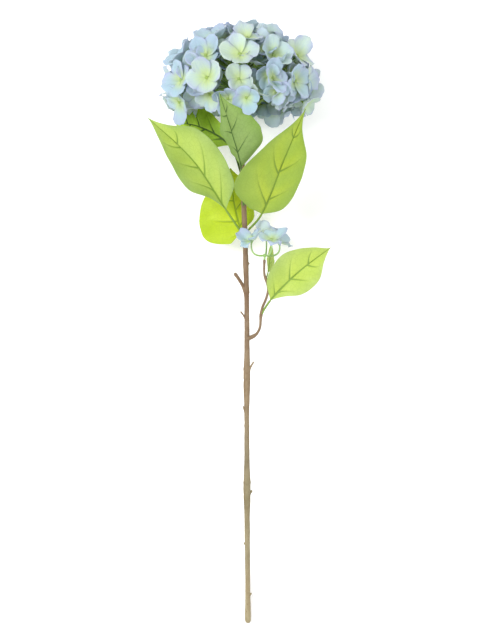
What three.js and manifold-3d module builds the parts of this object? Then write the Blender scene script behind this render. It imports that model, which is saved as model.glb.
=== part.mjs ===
// A cut hydrangea, lying on its back: one knobbly stem with seven leaves, a mophead of cupped florets
// on branching stalks, and a thin side branch that carries a leaf and a small flower of its own.
//
// Plant frame, in millimetres: x across, y up the stem from its foot, z away from the table.
// The whole plant is then tipped about x until its foot and the back of its head touch the table.

import * as THREE from 'three';
import { mergeVertices } from 'three/addons/utils/BufferGeometryUtils.js';
import Module from 'manifold-3d';

const wasm = await Module();
wasm.setup();

// ---------------------------------------------------------------------------------------------
// Driving dimensions
// ---------------------------------------------------------------------------------------------

const GAP = 0.3; // clearance left wherever one piece meets another

// Main stem: a thin rod with swollen joints, a rounded foot and a knob that holds the flower stalks.
const STEM_RADIUS = 2.75;
const STEM_AXIS = [
  [0, 0, 0],
  [-1, 140, 1.5],
  [-1.3, 215, 0.5],
  [-1.1, 300, -1],
  [-1.8, 370, 0.5],
  [-4.5, 451, 0],
  [-7.6, 528, 0],
];
const FOOT_ROUNDING = 4; // length of the rounded foot
const JOINTS = [
  // centre up the stem, how much it swells, half length of the swelling
  [6, 0.45, 14],
  [100, 0.35, 13],
  [146, 1.2, 24],
  [213, -0.15, 6],
  [266, 1.0, 26],
  [359, 0.5, 4],
  [388, 0.3, 8],
  [528, 2.2, 9],
];
const SPURS = [
  // stubs, buds and leaf scars: root, tip, radius at the root, radius at the tip
  { root: [-2.4, 358, 0], tip: [-14.6, 378, 3], radii: [2.0, 1.75] },
  { root: [-1.6, 326, 0], tip: [-8.2, 336.5, 1], radii: [1.3, 0.7] },
  { root: [-2.4, 385, 0], tip: [1.3, 389, 1], radii: [1.9, 1.4] },
  { root: [-1.2, 267, 0], tip: [6.5, 282.4, 1], radii: [1.9, 0.7] },
  { root: [-1.4, 212, 0], tip: [-5.1, 234.4, 1], radii: [1.4, 0.7] },
  { root: [-0.8, 131, 0], tip: [4.4, 143.5, 1], radii: [2.0, 0.9] },
  { root: [-0.8, 76, 0], tip: [-4.3, 87, 0.5], radii: [1.4, 0.6] },
  { root: [-0.2, 22, 0], tip: [3.7, 32.5, 0.5], radii: [1.6, 0.7] },
];

// Side branch: leaves the main stem low down, swings out and carries the side flower on its end.
const SIDE_BRANCH_RADII = [1.55, 1.2];
const SIDE_BRANCH_AXIS = [
  [-1.2, 306.5, 0],
  [8, 311, 3],
  [12.5, 318, 5],
  [14, 331.9, 8],
  [15.6, 341, 9],
  [19.6, 350.5, 10.5],
  [21.6, 359.6, 11.5],
  [20.2, 368, 12.5],
  [17.6, 376.5, 13],
  [17.6, 392, 14],
];

// Leaves: a stalk from its root to the base of the blade, then a midrib through its middle to its tip.
// left and right are the half widths at each sixth of the blade, from its base to its tip. fold lifts
// both halves, roll turns the blade about its midrib, and lobe draws its left corner back past its base.
const LEAF_THICKNESS = 0.9;
const PETIOLE_RADIUS = 1.15;
const LOBE_NECK = 15; // half width at which a lobe reaches its full length
const LEAVES = {
  leaf_front_left: {
    root: [-3.9, 417, 0], base: [-23.2, 444.7, 14], middle: [-59, 497.8, 30], tip: [-106.8, 542.7, 36],
    left: [9, 29, 31, 24, 11], right: [22, 28, 29, 26, 9], fold: 26, roll: 15, lobe: 0,
  },
  leaf_front_right: {
    root: [-3.7, 420, 0], base: [14.6, 440.5, 16], middle: [38.3, 497, 38], tip: [60.7, 549.6, 58],
    left: [37, 40, 29, 19, 7], right: [24, 32, 33, 26, 7], fold: 28, roll: -14, lobe: 8,
  },
  leaf_upper_front: {
    root: [-4.5, 449, 0], base: [-7.4, 489.1, 30], middle: [-18.3, 528, 65], tip: [-30, 564.2, 92],
    left: [8, 18, 25, 31, 16], right: [30, 32, 28, 18, 6], fold: 25, roll: 44, lobe: 0,
  },
  leaf_upper_back: {
    root: [-6, 481, 0], base: [-19.2, 515.5, -7], middle: [-52, 537.4, -20], tip: [-81, 544, -34],
    left: [12, 17, 18, 18, 12], right: [9, 15, 20, 20, 15], fold: -8, roll: -6, lobe: 0,
  },
  leaf_lower_back: {
    root: [-3.9, 414, 0], base: [-7.2, 423, -8], middle: [-15.5, 457, -19], tip: [-19, 493.5, -28],
    left: [37, 43, 39, 30, 19], right: [16, 20, 19, 16, 11], fold: -12, roll: 0, lobe: 16,
  },
  leaf_side: {
    root: [14.6, 334, 8.4], base: [23.8, 347.8, 11], middle: [54.3, 378.6, 15], tip: [89, 405, 13],
    left: [17, 24, 26, 20, 11], right: [8, 20, 23, 20, 8], fold: 14, roll: 0, lobe: 0,
  },
  leaf_side_small: {
    root: [19.3, 371, 12.8], base: [21.5, 378, 8], middle: [23.5, 394, 3], tip: [25, 411, 1],
    left: [5, 7.5, 8, 6, 3], right: [5, 7.5, 8, 6, 3], fold: 10, roll: 60, lobe: 0,
  },
};

// Florets: four rounded petals joined in a shallow cup.
const FLORET_RADIUS = 23.5;
const FLORET_THICKNESS = 0.8;
const NOTCH = 0.5; // how far the gaps between petals reach in, as a share of the radius
const PETAL_ROUNDNESS = 0.4; // the lower, the squarer the petals
const NARROW_PAIR = 0.08; // how much shorter one pair of petals is
const SHEET_FLATNESS = 0.4; // the lower, the more even the petals' thickness out to their rims
const CUP_SLOPE = 0.1;
const CUP_RISE = 0.42;

// Mophead: florets sit in rings on an egg-shaped dome, each facing straight out of it.
const HEAD_CENTRE = [-8.6, 575, 0];
const HEAD_ACROSS = 72;
const HEAD_UP = 62;
const HEAD_DOWN = 36;
const HEAD_FRONT = 66;
const HEAD_BACK = 54;
const HEAD_RINGS = [
  // angle down from the top, number of florets, angle of the first floret round from the front
  { down: 4, count: 1, first: 0 },
  { down: 32, count: 6, first: 12 },
  { down: 58, count: 10, first: 0 },
  { down: 84, count: 13, first: 0 },
  { down: 110, count: 10, first: 6 },
];
const TILT_JITTER = 14; // degrees by which a floret may lean off the dome's normal
const BEARING_LIFT = 6.5; // how far the two florets that bear on the table stand proud
const BEARING_SCALE = 0.84;
const BEARING_TURN = 0.3; // how far they turn inwards, so that their outer petals touch it
const SIZES = [1, 0.95, 0.9, 0.85, 0.8, 0.75, 0.7, 0.65, 0.6];
const LIFTS = [0, 2.5, -2.5, 5, -5];
const SPINS = [0, 18, 36, 54, 72];

// Flower stalks: five rays rise from the knob, and each splits into one pedicel per floret.
const RAY_RADIUS = 1.4;
const RAY_CIRCLE = 3.4; // the outer rays stand on this circle on the knob
const PEDICEL_RADII = [1.05, 0.8];
const RAYS = {
  stalks_top: { turn: null, hub: [0, 20, 0] },
  stalks_front: { turn: 0, hub: [0, -4, 26] },
  stalks_right: { turn: 90, hub: [32, -4, 0] },
  stalks_back: { turn: 180, hub: [0, -4, -22] },
  stalks_left: { turn: 270, hub: [-32, -4, 0] },
};

// Side flower: four florets that look up from a small hub on the end of the side branch.
const SIDE_HUB = [18, 396.5, 14.3];
const SIDE_FLORET_SCALE = 0.78;
const SIDE_FLORETS = [
  { place: [4, 413, 17], facing: [-0.45, 0.85, 0.3] },
  { place: [20, 420, -4], facing: [0.05, 0.9, -0.5] },
  { place: [25, 413, 33], facing: [0.1, 0.85, 0.5] },
  { place: [36, 415, 8], facing: [0.45, 0.85, 0.1] },
];

const MATERIALS = {
  stem: new THREE.MeshStandardMaterial({ color: 0x9a8066, roughness: 0.75, metalness: 0 }),
  stalk: new THREE.MeshStandardMaterial({ color: 0x86a04a, roughness: 0.6, metalness: 0 }),
  leaf: new THREE.MeshStandardMaterial({ color: 0xb4cf5c, roughness: 0.6, metalness: 0 }),
  petal: new THREE.MeshStandardMaterial({ color: 0xbfd6de, roughness: 0.7, metalness: 0 }),
};

// ---------------------------------------------------------------------------------------------
// Helpers
// ---------------------------------------------------------------------------------------------

const X = new THREE.Vector3(1, 0, 0);
const Y = new THREE.Vector3(0, 1, 0);
const Z = new THREE.Vector3(0, 0, 1);
const vector = ([x, y, z]) => new THREE.Vector3(x, y, z);
const radians = THREE.MathUtils.degToRad;
const mix = THREE.MathUtils.lerp;

// A repeatable number from -1 to 1 for each piece and each use.
function jitter(index, use) {
  const wave = Math.sin(index * 12.9898 + use * 78.233) * 43758.5453;
  return 2 * (wave - Math.floor(wave)) - 1;
}

// Moves every vertex of a geometry to where shape(x, y, z) puts it.
function mould(geometry, shape) {
  const position = geometry.attributes.position;
  for (let i = 0; i < position.count; i += 1) {
    const moved = shape(position.getX(i), position.getY(i), position.getZ(i));
    position.setXYZ(i, moved.x, moved.y, moved.z);
  }
  return geometry;
}

// A closed three.js geometry as a solid that can be joined and cut.
function solidOf(geometry) {
  const plain = geometry.clone();
  plain.deleteAttribute('normal');
  plain.deleteAttribute('uv');
  const merged = mergeVertices(plain);
  const corners = merged.index.array;
  const triangles = [];
  for (let i = 0; i < corners.length; i += 3) {
    const [a, b, c] = corners.subarray(i, i + 3);
    if (a !== b && b !== c && c !== a) triangles.push(a, b, c);
  }
  return new wasm.Manifold(new wasm.Mesh({
    numProp: 3,
    vertProperties: Float32Array.from(merged.attributes.position.array),
    triVerts: Uint32Array.from(triangles),
  }));
}

// A joined or cut solid as a three.js geometry again.
function geometryOf(solid) {
  const mesh = solid.getMesh();
  const geometry = new THREE.BufferGeometry();
  geometry.setAttribute('position', new THREE.BufferAttribute(mesh.vertProperties, 3));
  geometry.setIndex(new THREE.BufferAttribute(mesh.triVerts, 1));
  geometry.computeVertexNormals();
  return geometry;
}

// A closed tube along a curve; radiusAt gives its radius from 0 at the start to 1 at the end.
function tube(curve, radiusAt, sides, steps) {
  const frames = curve.computeFrenetFrames(steps, false);
  return mould(new THREE.CylinderGeometry(1, 1, 1, sides, steps), (x, y, z) => {
    const share = y + 0.5;
    const step = Math.round(share * steps);
    const radius = radiusAt(share);
    return curve.getPointAt(share)
      .addScaledVector(frames.normals[step], x * radius)
      .addScaledVector(frames.binormals[step], -z * radius);
  });
}

// ---------------------------------------------------------------------------------------------
// Main stem
// ---------------------------------------------------------------------------------------------

const stemCurve = new THREE.CatmullRomCurve3(STEM_AXIS.map(vector));
const STEM_LENGTH = STEM_AXIS.at(-1)[1];

// The point of the stem's axis at a height.
function stemAxisAt(height) {
  let low = 0;
  let high = 1;
  for (let i = 0; i < 30; i += 1) {
    const middle = (low + high) / 2;
    if (stemCurve.getPoint(middle).y < height) low = middle;
    else high = middle;
  }
  return stemCurve.getPoint(low);
}

// The stem's radius at a height: a plain rod, a bell-shaped swelling at each joint and a round foot.
function stemRadiusAt(height) {
  let radius = STEM_RADIUS;
  for (const [centre, swell, half] of JOINTS) radius += swell * Math.exp(-(((height - centre) / half) ** 2));
  const foot = Math.max(0, 1 - height / FOOT_ROUNDING);
  return radius * Math.sqrt(1 - 0.75 * foot * foot);
}

// The rod of the stem, made wider by grow all round.
function stemRod(grow) {
  const heights = [0, 1.2, 4];
  for (let height = 15; height < 515; height += 15) heights.push(height);
  heights.push(522, STEM_LENGTH);
  const profile = heights.map((height) => new THREE.Vector2(stemRadiusAt(height) + grow, height));
  profile[profile.length - 1].y += grow;
  profile[0].y -= grow;
  const ends = [new THREE.Vector2(0, profile[0].y), new THREE.Vector2(0, profile.at(-1).y)];
  const lathe = new THREE.LatheGeometry([ends[0], ...profile, ends[1]], 10);
  return mould(lathe, (x, y, z) => {
    const centre = stemAxisAt(THREE.MathUtils.clamp(y, 0, STEM_LENGTH));
    return new THREE.Vector3(centre.x + x, y, centre.z + z);
  });
}

function spur({ root, tip, radii }) {
  const curve = new THREE.LineCurve3(vector(root), vector(tip));
  return tube(curve, (share) => mix(radii[0], radii[1], share) * (share > 0.99 ? 0.7 : 1), 6, 4);
}

function mainStem() {
  let stem = solidOf(stemRod(0));
  for (const each of SPURS) stem = stem.add(solidOf(spur(each)));
  return stem;
}

// ---------------------------------------------------------------------------------------------
// Side branch
// ---------------------------------------------------------------------------------------------

const sideCurve = new THREE.CatmullRomCurve3(SIDE_BRANCH_AXIS.map(vector));

function sideBranch(grow) {
  return solidOf(tube(sideCurve, (share) => mix(...SIDE_BRANCH_RADII, share) + grow, 7, 22));
}

// ---------------------------------------------------------------------------------------------
// Leaves
// ---------------------------------------------------------------------------------------------

// Half width of a blade at a share of its length: a smooth line through the widths at its sixths.
function halfWidth(widths, share) {
  const points = [0, ...widths, 0].map((width, sixth) => new THREE.Vector2(sixth / 6, width));
  return Math.max(new THREE.SplineCurve(points).getPoint(share).y, 0.8);
}

// The frame of a midrib at a share of its length: point, along, across and up.
function midribFrame(midrib, share, roll) {
  const along = midrib.getTangent(share);
  const across = new THREE.Vector3().crossVectors(along, Z).normalize();
  across.applyAxisAngle(along, radians(roll));
  const up = new THREE.Vector3().crossVectors(across, along);
  return { point: midrib.getPoint(share), along, across, up };
}

function leafSolid({ root, base, middle, tip, left, right, fold, roll, lobe }) {
  const midrib = new THREE.CatmullRomCurve3([root, base, middle, tip].map(vector));
  const bladeStart = 1 / 3; // the base is the second of four evenly spaced points
  const blade = mould(new THREE.BoxGeometry(2, 1, 1, 4, 12, 1), (x, y, z) => {
    const share = y + 0.5;
    const frame = midribFrame(midrib, mix(bladeStart, 1, share), roll);
    const half = halfWidth(x < 0 ? left : right, share);
    const side = Math.abs(x);
    const back = x < 0 ? lobe * side * (1 - share) ** 2.5 * Math.min(1, half / LOBE_NECK) : 0;
    return frame.point
      .addScaledVector(frame.across, x * half * Math.cos(radians(fold)))
      .addScaledVector(frame.up, side ** 1.3 * half * Math.sin(radians(fold)) + z * LEAF_THICKNESS)
      .addScaledVector(frame.along, -back);
  });
  const stalk = new THREE.CatmullRomCurve3(
    [0, 0.5, 1, 1.15].map((share) => midrib.getPoint(share * bladeStart)),
  );
  return solidOf(blade).add(solidOf(tube(stalk, () => PETIOLE_RADIUS, 6, 5)));
}

// ---------------------------------------------------------------------------------------------
// Florets
// ---------------------------------------------------------------------------------------------

// A floret that faces +y with its back at the origin. Its four petals are lobes of a shallow cup.
function floretGeometry(radius, thickness) {
  return mould(new THREE.SphereGeometry(1, 16, 6), (x, y, z) => {
    const turn = Math.atan2(z, x);
    const lobe = NOTCH + (1 - NOTCH) * Math.abs(Math.cos(2 * turn)) ** PETAL_ROUNDNESS;
    const pair = 1 - NARROW_PAIR * Math.sin(turn) ** 2;
    const share = lobe * pair * Math.sqrt(Math.max(0, 1 - y * y)) ** SHEET_FLATNESS;
    const height = radius * (CUP_SLOPE * share + CUP_RISE * share * share);
    const reach = radius * share;
    return new THREE.Vector3(reach * Math.cos(turn), height + (y * thickness) / 2, reach * Math.sin(turn));
  });
}

// Where a floret stands: its place, the way it faces, and its turn about that line.
function floretMatrix(place, facing, spin) {
  const turn = new THREE.Quaternion().setFromUnitVectors(Y, facing);
  turn.multiply(new THREE.Quaternion().setFromAxisAngle(Y, radians(spin)));
  return new THREE.Matrix4().compose(place, turn, new THREE.Vector3(1, 1, 1));
}

// Tries sizes, lifts and spins until the floret is clear of everything that is already there.
function settleFloret(seat, obstacles) {
  const near = obstacles.filter((each) => each.centre.distanceTo(seat.place) < each.reach + 30);
  for (const size of SIZES) {
    for (const lift of LIFTS) {
      for (const spin of SPINS) {
        const radius = FLORET_RADIUS * seat.scale * size;
        const place = seat.place.clone().addScaledVector(seat.facing, lift);
        const matrix = floretMatrix(place, seat.facing, seat.spin + spin);
        const guard = floretGeometry(radius + GAP, FLORET_THICKNESS + 2 * GAP).applyMatrix4(matrix);
        const solid = solidOf(guard);
        if (near.every((each) => solid.intersect(each.solid).isEmpty())) {
          const geometry = floretGeometry(radius, FLORET_THICKNESS).applyMatrix4(matrix);
          return { geometry, solid: solidOf(geometry), place, facing: seat.facing, centre: place, reach: 24 };
        }
      }
    }
  }
  throw new Error(`no room for a floret at ${seat.place.toArray()}`);
}

// The seats of the mophead, ring by ring down the dome, each leaning a little its own way. The pair on
// the widest ring either side of the back is set level and first, because the head rests on it.
function headSeats() {
  const centre = vector(HEAD_CENTRE);
  const seats = [];
  HEAD_RINGS.forEach(({ down, count, first }, ring) => {
    for (let i = 0; i < count; i += 1) {
      const index = 20 * ring + i;
      const turn = first + (360 * i) / count;
      const bearing = ring === 3 && Math.abs(turn - 180) < 180 / count;
      const polar = radians(down);
      const round = radians(turn);
      const axes = new THREE.Vector3(
        HEAD_ACROSS,
        down < 90 ? HEAD_UP : HEAD_DOWN,
        Math.cos(round) > 0 ? HEAD_FRONT : HEAD_BACK,
      );
      const unit = new THREE.Vector3(
        Math.sin(polar) * Math.sin(round),
        Math.cos(polar),
        Math.sin(polar) * Math.cos(round),
      );
      const facing = unit.clone().divide(axes).normalize();
      const place = unit.multiply(axes).add(centre);
      if (bearing) {
        place.addScaledVector(facing, BEARING_LIFT);
        facing.x *= -BEARING_TURN;
        facing.normalize();
        seats.unshift({ place, facing, down, turn, spin: turn < 180 ? 45 : -45, scale: BEARING_SCALE });
      } else {
        const lean = radians(TILT_JITTER);
        facing.applyAxisAngle(X, lean * jitter(index, 1)).applyAxisAngle(Y, lean * jitter(index, 2));
        seats.push({ place, facing, down, turn, spin: 90 * jitter(index, 3), scale: 1 });
      }
    }
  });
  return seats;
}

// ---------------------------------------------------------------------------------------------
// Flower stalks
// ---------------------------------------------------------------------------------------------

// A pedicel bends out of its hub and meets the back of its floret square on.
function pedicel(hub, floret) {
  const end = floret.place.clone().addScaledVector(floret.facing, -GAP - FLORET_THICKNESS / 2);
  const bend = end.clone().addScaledVector(floret.facing, -0.5 * end.distanceTo(hub));
  const curve = new THREE.QuadraticBezierCurve3(hub, bend, end);
  return solidOf(tube(curve, (share) => mix(...PEDICEL_RADII, share), 5, 4));
}

// One ray of the mophead: a stalk from the knob to its hub, and a pedicel to each of its florets.
function raySolid({ turn, hub }, florets) {
  const knob = stemCurve.getPoint(1);
  const outward = turn === null ? new THREE.Vector3() : Z.clone().applyAxisAngle(Y, radians(turn));
  const start = knob.clone().addScaledVector(outward, RAY_CIRCLE).addScaledVector(Y, GAP);
  const end = vector(HEAD_CENTRE).add(vector(hub));
  const bend = start.clone().addScaledVector(Y, 0.6 * (end.y - start.y));
  const curve = new THREE.QuadraticBezierCurve3(start, bend, end);
  let solid = solidOf(tube(curve, () => RAY_RADIUS, 7, 6));
  solid = solid.add(solidOf(new THREE.SphereGeometry(RAY_RADIUS * 1.3, 8, 6).translate(end.x, end.y, end.z)));
  for (const floret of florets) solid = solid.add(pedicel(end, floret));
  return solid;
}

// The ray that a seat belongs to: the top ray for the crown, else the one on its quarter.
function rayOf({ down, turn }) {
  if (down < 45) return 'stalks_top';
  const quarter = Math.round((((turn % 360) + 360) % 360) / 90) % 4;
  return ['stalks_front', 'stalks_right', 'stalks_back', 'stalks_left'][quarter];
}

// ---------------------------------------------------------------------------------------------
// Assembly
// ---------------------------------------------------------------------------------------------

const plant = new THREE.Group();

function addPiece(name, geometry, material) {
  const mesh = new THREE.Mesh(geometry, material);
  mesh.name = name;
  plant.add(mesh);
}

function asObstacle(solid) {
  const box = solid.boundingBox();
  const low = vector(box.min);
  const high = vector(box.max);
  return { solid, centre: low.clone().add(high).multiplyScalar(0.5), reach: low.distanceTo(high) / 2 };
}

const stem = mainStem();
const stemRoom = solidOf(stemRod(GAP));
addPiece('main_stem', geometryOf(stem), MATERIALS.stem);
addPiece('side_branch', geometryOf(sideBranch(0).subtract(stemRoom)), MATERIALS.stem);

const obstacles = [asObstacle(stem), asObstacle(sideBranch(0))];
for (const [name, leaf] of Object.entries(LEAVES)) {
  const solid = leafSolid(leaf).subtract(stemRoom).subtract(sideBranch(GAP));
  addPiece(name, geometryOf(solid), MATERIALS.leaf);
  obstacles.push(asObstacle(solid));
}

const headFlorets = [];
headSeats().forEach((seat, index) => {
  const floret = settleFloret(seat, obstacles);
  obstacles.push(floret);
  headFlorets.push({ ...floret, ray: rayOf(seat) });
  addPiece(`floret_${String(index + 1).padStart(2, '0')}`, floret.geometry, MATERIALS.petal);
});

const sideFlorets = SIDE_FLORETS.map(({ place, facing }, index) => {
  const seat = {
    place: vector(place),
    facing: vector(facing).normalize(),
    spin: 90 * jitter(index, 4),
    scale: SIDE_FLORET_SCALE,
  };
  const floret = settleFloret(seat, obstacles);
  obstacles.push(floret);
  addPiece(`side_floret_${index + 1}`, floret.geometry, MATERIALS.petal);
  return floret;
});

for (const [name, ray] of Object.entries(RAYS)) {
  const solid = raySolid(ray, headFlorets.filter((floret) => floret.ray === name));
  addPiece(name, geometryOf(solid), MATERIALS.stalk);
}

let sideStalks = solidOf(new THREE.SphereGeometry(2, 8, 6).translate(...SIDE_HUB));
for (const floret of sideFlorets) sideStalks = sideStalks.add(pedicel(vector(SIDE_HUB), floret));
addPiece('side_flower_stalks', geometryOf(sideStalks.subtract(sideBranch(GAP))), MATERIALS.stalk);

// ---------------------------------------------------------------------------------------------
// Lay the plant on the table
// ---------------------------------------------------------------------------------------------

// The lowest point of the plant between two heights up the stem, once it is tipped by an angle.
function lowestPoint(lean, from, to) {
  let lowest = Infinity;
  for (const mesh of plant.children) {
    const position = mesh.geometry.attributes.position;
    for (let i = 0; i < position.count; i += 1) {
      const y = position.getY(i);
      if (y < from || y > to) continue;
      lowest = Math.min(lowest, y * Math.sin(lean) + position.getZ(i) * Math.cos(lean));
    }
  }
  return lowest;
}

let leanLow = 0;
let leanHigh = radians(20);
for (let i = 0; i < 40; i += 1) {
  const lean = (leanLow + leanHigh) / 2;
  const headIsLow = lowestPoint(lean, STEM_LENGTH, Infinity) < lowestPoint(lean, 0, STEM_LENGTH / 4);
  if (headIsLow) leanLow = lean;
  else leanHigh = lean;
}
plant.rotation.x = leanLow;

const hydrangea = new THREE.Group();
hydrangea.add(plant);
hydrangea.updateMatrixWorld(true);
const box = new THREE.Box3().setFromObject(hydrangea, true);
const middle = box.getCenter(new THREE.Vector3());
plant.position.set(-middle.x, -middle.y, -box.min.z);

export default hydrangea;
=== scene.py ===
# %% [markdown]
# # A cut hydrangea lying on a table
#
# The real thing is a branch cut from a shrub: a woody stem, seven broad leaves, a domed head of
# papery four-petalled florets on green stalks, and a thin side branch with a small flower of its
# own. Nothing on it moves, so every piece rides on the one body, `root`.
#
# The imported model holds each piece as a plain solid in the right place. Here each plain solid is
# replaced by a fine surface worked out with numpy: smooth, veined, rippled or knobbly where the
# real one is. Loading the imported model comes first, because every place is measured from it.

import bpy
import numpy as np
from mathutils import Matrix


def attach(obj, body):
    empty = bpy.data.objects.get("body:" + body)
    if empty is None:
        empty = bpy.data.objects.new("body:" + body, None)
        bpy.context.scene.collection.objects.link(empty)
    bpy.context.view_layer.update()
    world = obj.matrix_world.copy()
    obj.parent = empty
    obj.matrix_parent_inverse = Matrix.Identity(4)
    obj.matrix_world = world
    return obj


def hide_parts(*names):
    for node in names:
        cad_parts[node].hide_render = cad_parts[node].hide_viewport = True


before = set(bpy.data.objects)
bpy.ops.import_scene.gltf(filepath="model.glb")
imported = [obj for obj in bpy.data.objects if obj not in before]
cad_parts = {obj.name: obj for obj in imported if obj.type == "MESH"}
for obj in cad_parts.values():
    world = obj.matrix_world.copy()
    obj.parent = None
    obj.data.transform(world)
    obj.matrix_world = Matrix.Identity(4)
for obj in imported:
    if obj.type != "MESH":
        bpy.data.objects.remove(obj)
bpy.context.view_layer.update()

# %% [markdown]
# ## The plant's own frame
#
# A plant is easiest to describe standing up: x across, y up the stem from its foot, z towards the
# eye, in millimetres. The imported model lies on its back, tipped a few degrees, because the head is
# thicker than the stem. The tip could be copied in as an angle, but measuring it is safer: the two
# ends of the stem say where the plant lies, and everything else follows from them.

# %% Find the plant's frame from the two ends of its stem
MM = 0.001
STEM_CROWN = np.array([-7.6, 528.0, 0.0])
FOOT_SLICE = 0.0005
CROWN_SLICE = 0.002


def cad_points(node):
    """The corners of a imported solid, each once, in metres."""
    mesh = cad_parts[node].data
    corners = np.empty(len(mesh.vertices) * 3, np.float32)
    mesh.vertices.foreach_get("co", corners)
    return np.unique(corners.reshape(-1, 3).astype(float).round(6), axis=0)


stem_points = cad_points("main_stem")
foot = stem_points[stem_points[:, 1] < stem_points[:, 1].min() + FOOT_SLICE].mean(0)
crown = stem_points[stem_points[:, 1] > stem_points[:, 1].max() - CROWN_SLICE].mean(0)
rise = crown - foot
lean = np.arctan2(rise[2], rise[1])
PLANT_AXES = np.array([
    [1.0, 0.0, 0.0],
    [0.0, np.cos(lean), np.sin(lean)],
    [0.0, -np.sin(lean), np.cos(lean)],
])


def laid(points):
    """Points of the standing plant in millimetres, as points of the laid plant in metres."""
    return foot + (np.asarray(points, float) * MM) @ PLANT_AXES


def standing(points):
    """The other way round: points of the laid plant in metres, as points of the standing plant."""
    return ((points - foot) @ PLANT_AXES.T) / MM


print(f"the plant is tipped by {np.degrees(lean):.2f} degrees")

# %% [markdown]
# ## From a grid of points to a mesh
#
# A petal, a leaf and a stalk are all skins over two parameters, so one helper turns a grid of
# points into quads. Tubes get a point at each end; petals and leaves are shells with an upper and
# a lower skin. Each point can carry numbers of its own, such as how near it is to a vein, which
# the materials read. What would dip into the surface below the plant bends along it instead.

# %% Mesh helpers
FLOOR_EASE = 0.0008


def grid_faces(rows, columns, wrap=False):
    """Quads between neighbouring points of a grid; wrap joins the last column to the first."""
    index = np.arange(rows * columns).reshape(rows, columns)
    if wrap:
        index = np.hstack((index, index[:, :1]))
    quads = np.stack((index[:-1, :-1], index[:-1, 1:], index[1:, 1:], index[1:, :-1]), -1)
    return quads.reshape(-1, 4).tolist()


def unit(vectors):
    """Vectors divided by their lengths."""
    return vectors / np.linalg.norm(vectors, axis=-1, keepdims=True)


def circle(sides):
    """The angles of evenly spaced spokes."""
    return np.linspace(0, 2 * np.pi, sides, endpoint=False)


def tube(path, radii, sides, side_hint, swell=None):
    """A closed tube: at each point of a path, a ring of the given radius square to the path.

    The ring's first spoke is the part of side_hint that is square to the path, and swell, one
    number per point of the grid, makes the radius larger or smaller."""
    path = np.asarray(path, float)
    along = unit(np.gradient(path, axis=0))
    first = unit(np.cross(np.broadcast_to(side_hint, along.shape), along))
    second = np.cross(along, first)
    turn = circle(sides)
    reach = np.asarray(radii, float)[:, None] * (1 if swell is None else 1 + swell)
    ring = first[:, None] * np.cos(turn)[:, None] + second[:, None] * np.sin(turn)[:, None]
    points = (path[:, None] + ring * reach[..., None]).reshape(-1, 3)
    rows = len(path)
    faces = grid_faces(rows, sides, wrap=True)
    start, end = rows * sides, rows * sides + 1
    spoke = np.arange(sides)
    after = np.roll(spoke, -1)
    last = (rows - 1) * sides
    faces += np.stack((np.full(sides, start), after, spoke), -1).tolist()
    faces += np.stack((np.full(sides, end), last + spoke, last + after), -1).tolist()
    share = np.repeat(np.linspace(0, 1, rows), sides)
    return {
        "points": np.vstack((points, path[:1], path[-1:])),
        "faces": faces,
        "share": np.append(share, (0.0, 1.0)),
    }


def constant_fields(skin, **values):
    """A tube with the given numbers on every point instead of its share along."""
    skin.pop("share")
    skin.update({name: np.full(len(skin["points"]), float(value)) for name, value in values.items()})
    return skin


def joined(parts):
    """Several skins as one: their points stacked, and their faces counted on from each other."""
    faces, count = [], 0
    for part in parts:
        faces += [[corner + count for corner in face] for face in part["faces"]]
        count += len(part["points"])
    fields = [key for key in parts[0] if key != "faces"]
    return {"faces": faces, **{key: np.concatenate([part[key] for part in parts]) for key in fields}}


def make_piece(name, skin, material, replaces=()):
    """A mesh object from a skin of the standing plant, with each further field as an attribute.

    A point's height becomes half the sum of itself and its root of squares with FLOOR_EASE, which
    is never below zero and almost the height itself a few millimetres up."""
    points = laid(skin["points"])
    points[:, 2] = (points[:, 2] + np.hypot(points[:, 2], FLOOR_EASE)) / 2
    mesh = bpy.data.meshes.new(name)
    mesh.from_pydata(points.tolist(), [], skin["faces"])
    for field, values in skin.items():
        if field in ("points", "faces"):
            continue
        attribute = mesh.attributes.new(field, "FLOAT", "POINT")
        attribute.data.foreach_set("value", np.asarray(values, np.float32).ravel())
    mesh.shade_smooth()
    mesh.materials.append(material)
    piece = bpy.data.objects.new(name, mesh)
    bpy.context.scene.collection.objects.link(piece)
    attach(piece, "root")
    if replaces:
        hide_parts(*replaces)
    return piece


# %% [markdown]
# ## Node helpers and one shared effect
#
# Bark, leaf and petal are very different, but all of them are mottled: living tissue is never one
# even colour. That mottling is one node group, used in every material with its own scale. It is
# built from two noises, a broad one for patches and a fine one for grain, and puts out a mask for
# colours and a height for bumps. Noise in Object coordinates needs no unwrapping and never repeats.

# %% Node helpers and the mottling group


def linear(red, green, blue):
    """A screen colour from 0 to 255 as the linear colour that shaders use."""
    screen = np.array([red, green, blue]) / 255
    bright = ((screen + 0.055) / 1.055) ** 2.4
    return (*np.where(screen <= 0.04045, screen / 12.92, bright).tolist(), 1.0)


def add_node(tree, kind, inputs=(), **settings):
    """A node of a kind with its settings; inputs are values or the outputs that feed it."""
    node = tree.nodes.new(kind)
    for key, value in settings.items():
        setattr(node, key, value)
    for socket, value in dict(inputs).items():
        if isinstance(value, bpy.types.NodeSocket):
            tree.links.new(value, node.inputs[socket])
        else:
            node.inputs[socket].default_value = value
    return node


def maths(tree, operation, first, second=0.0, clamp=False):
    """One sum on two numbers."""
    node = add_node(tree, "ShaderNodeMath", {0: first, 1: second}, operation=operation, use_clamp=clamp)
    return node.outputs[0]


def blend_colours(tree, share, first, second, mode="MIX"):
    """One colour laid over another by a share from 0 to 1."""
    inputs = {0: share, 6: first, 7: second}
    return add_node(tree, "ShaderNodeMix", inputs, data_type="RGBA", blend_type=mode).outputs[2]


def tint(tree, colour, other, mask, most):
    """A colour moved towards another, by up to the share most where the mask is 1."""
    return blend_colours(tree, maths(tree, "MULTIPLY", mask, most), colour, other)


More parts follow.
